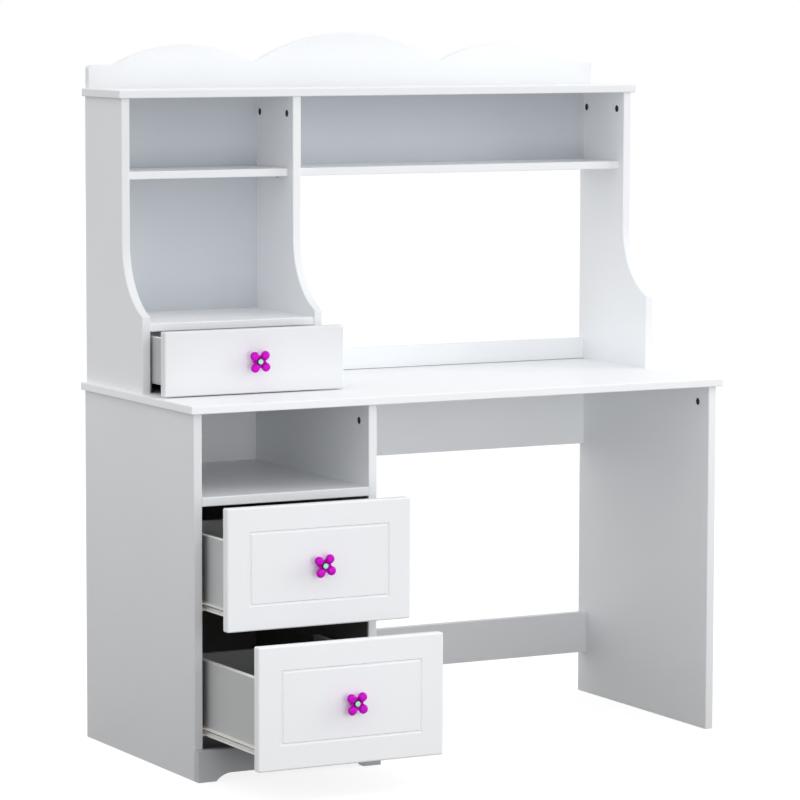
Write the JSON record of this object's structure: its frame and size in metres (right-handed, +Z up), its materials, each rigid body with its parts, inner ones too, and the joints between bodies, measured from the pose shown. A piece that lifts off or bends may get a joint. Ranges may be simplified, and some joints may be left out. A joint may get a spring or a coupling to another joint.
{
  "type": "student desk with hutch",
  "caption": "White student desk with a drawer pedestal, an open knee space and a shelved hutch with curved sides and a cloud-shaped crown; flower knobs.",
  "frame": {"origin": "on the floor, under the middle of the whole part's box with its drawers as far open as in rest", "axes": "+X to the right as seen from the front, +Y from the front to the back, +Z up"},
  "size_m": [1.2, 0.823, 1.4294],
  "materials": {
    "white_board": "satin white lacquer on fibreboard",
    "drawer_board": "white paper foil on board",
    "drawer_sheet": "thin fibreboard with a pale face",
    "runner_steel": "cream powder coat",
    "roller_nylon": "moulded nylon",
    "knob_petals": "glossy magenta",
    "knob_dome": "glossy pale mint",
    "screw_steel": "zinc plated",
    "cam_zinc": "dark zinc casting",
    "bare_wood": "planed beech"
  },
  "bodies": {
    "carcass": {"cabinet_runner_screws": "screw_steel", "cam_bolts": "screw_steel", "cam_locks": "cam_zinc", "desk_divider": "white_board", "desk_left_side": "white_board", "desk_right_side": "white_board", "desk_top": "white_board", "dowels": "bare_wood", "hutch_crown": "white_board", "hutch_divider": "white_board", "hutch_drawer_runners": "bare_wood", "hutch_left_back": "white_board", "hutch_left_side": "white_board", "hutch_low_rail": "white_board", "hutch_right_back": "white_board", "hutch_right_side": "white_board", "hutch_top": "white_board", "knee_apron": "white_board", "long_shelf": "white_board", "loose_shelf": "white_board", "low_shelf": "white_board", "lower_cabinet_runners": "runner_steel", "lower_stretcher": "white_board", "pedestal_back": "white_board", "pedestal_shelf": "white_board", "plinth": "white_board", "shelf_pins": "screw_steel", "upper_cabinet_runners": "runner_steel"},
    "hutch_drawer": {"hutch_drawer_back": "drawer_board", "hutch_drawer_bottom": "drawer_sheet", "hutch_drawer_front": "white_board", "hutch_drawer_left_side": "drawer_board", "hutch_drawer_right_side": "drawer_board", "hutch_knob_centre": "knob_dome", "hutch_knob_flower": "knob_petals", "hutch_knob_screw": "screw_steel"},
    "upper_drawer": {"upper_drawer_back": "drawer_board", "upper_drawer_bottom": "drawer_sheet", "upper_drawer_front": "white_board", "upper_drawer_left_side": "drawer_board", "upper_drawer_right_side": "drawer_board", "upper_drawer_runners": "runner_steel", "upper_drawer_screws": "screw_steel", "upper_knob_centre": "knob_dome", "upper_knob_flower": "knob_petals", "upper_knob_screw": "screw_steel"},
    "lower_drawer": {"lower_drawer_back": "drawer_board", "lower_drawer_bottom": "drawer_sheet", "lower_drawer_front": "white_board", "lower_drawer_left_side": "drawer_board", "lower_drawer_right_side": "drawer_board", "lower_drawer_runners": "runner_steel", "lower_drawer_screws": "screw_steel", "lower_knob_centre": "knob_dome", "lower_knob_flower": "knob_petals", "lower_knob_screw": "screw_steel"},
    "upper_front_rollers": {"upper_front_rollers": "roller_nylon"},
    "upper_rear_rollers": {"upper_rear_rollers": "roller_nylon"},
    "lower_front_rollers": {"lower_front_rollers": "roller_nylon"},
    "lower_rear_rollers": {"lower_rear_rollers": "roller_nylon"}
  },
  "joints": [
    {"name": "hutch_drawer_slide", "type": "slide", "parent": "carcass", "child": "hutch_drawer", "axis": [0, -1, 0], "range_m": [-0.081, 0.069]},
    {"name": "upper_drawer_slide", "type": "slide", "parent": "carcass", "child": "upper_drawer", "axis": [0, -1, 0], "range_m": [-0.125, 0.205]},
    {"name": "lower_drawer_slide", "type": "slide", "parent": "carcass", "child": "lower_drawer", "axis": [0, -1, 0], "range_m": [-0.258, 0.072]},
    {"name": "upper_front_roller_spin", "type": "hinge", "parent": "carcass", "child": "upper_front_rollers", "pos_m": [-0.393, -0.0925, 0.3385], "axis": [1, 0, 0], "continuous": true},
    {"name": "upper_rear_roller_spin", "type": "hinge", "parent": "upper_drawer", "child": "upper_rear_rollers", "pos_m": [-0.393, 0.2055, 0.3385], "axis": [1, 0, 0], "continuous": true},
    {"name": "lower_front_roller_spin", "type": "hinge", "parent": "carcass", "child": "lower_front_rollers", "pos_m": [-0.393, -0.0925, 0.0945], "axis": [1, 0, 0], "continuous": true},
    {"name": "lower_rear_roller_spin", "type": "hinge", "parent": "lower_drawer", "child": "lower_rear_rollers", "pos_m": [-0.393, 0.0725, 0.0945], "axis": [1, 0, 0], "continuous": true}
  ],
  "couplings": [
    {"joint": "upper_front_roller_spin", "follows": "upper_drawer_slide", "rad_per_m": 166.67},
    {"joint": "upper_rear_roller_spin", "follows": "upper_drawer_slide", "rad_per_m": 166.67},
    {"joint": "lower_front_roller_spin", "follows": "lower_drawer_slide", "rad_per_m": 166.67},
    {"joint": "lower_rear_roller_spin", "follows": "lower_drawer_slide", "rad_per_m": 166.67}
  ]
}
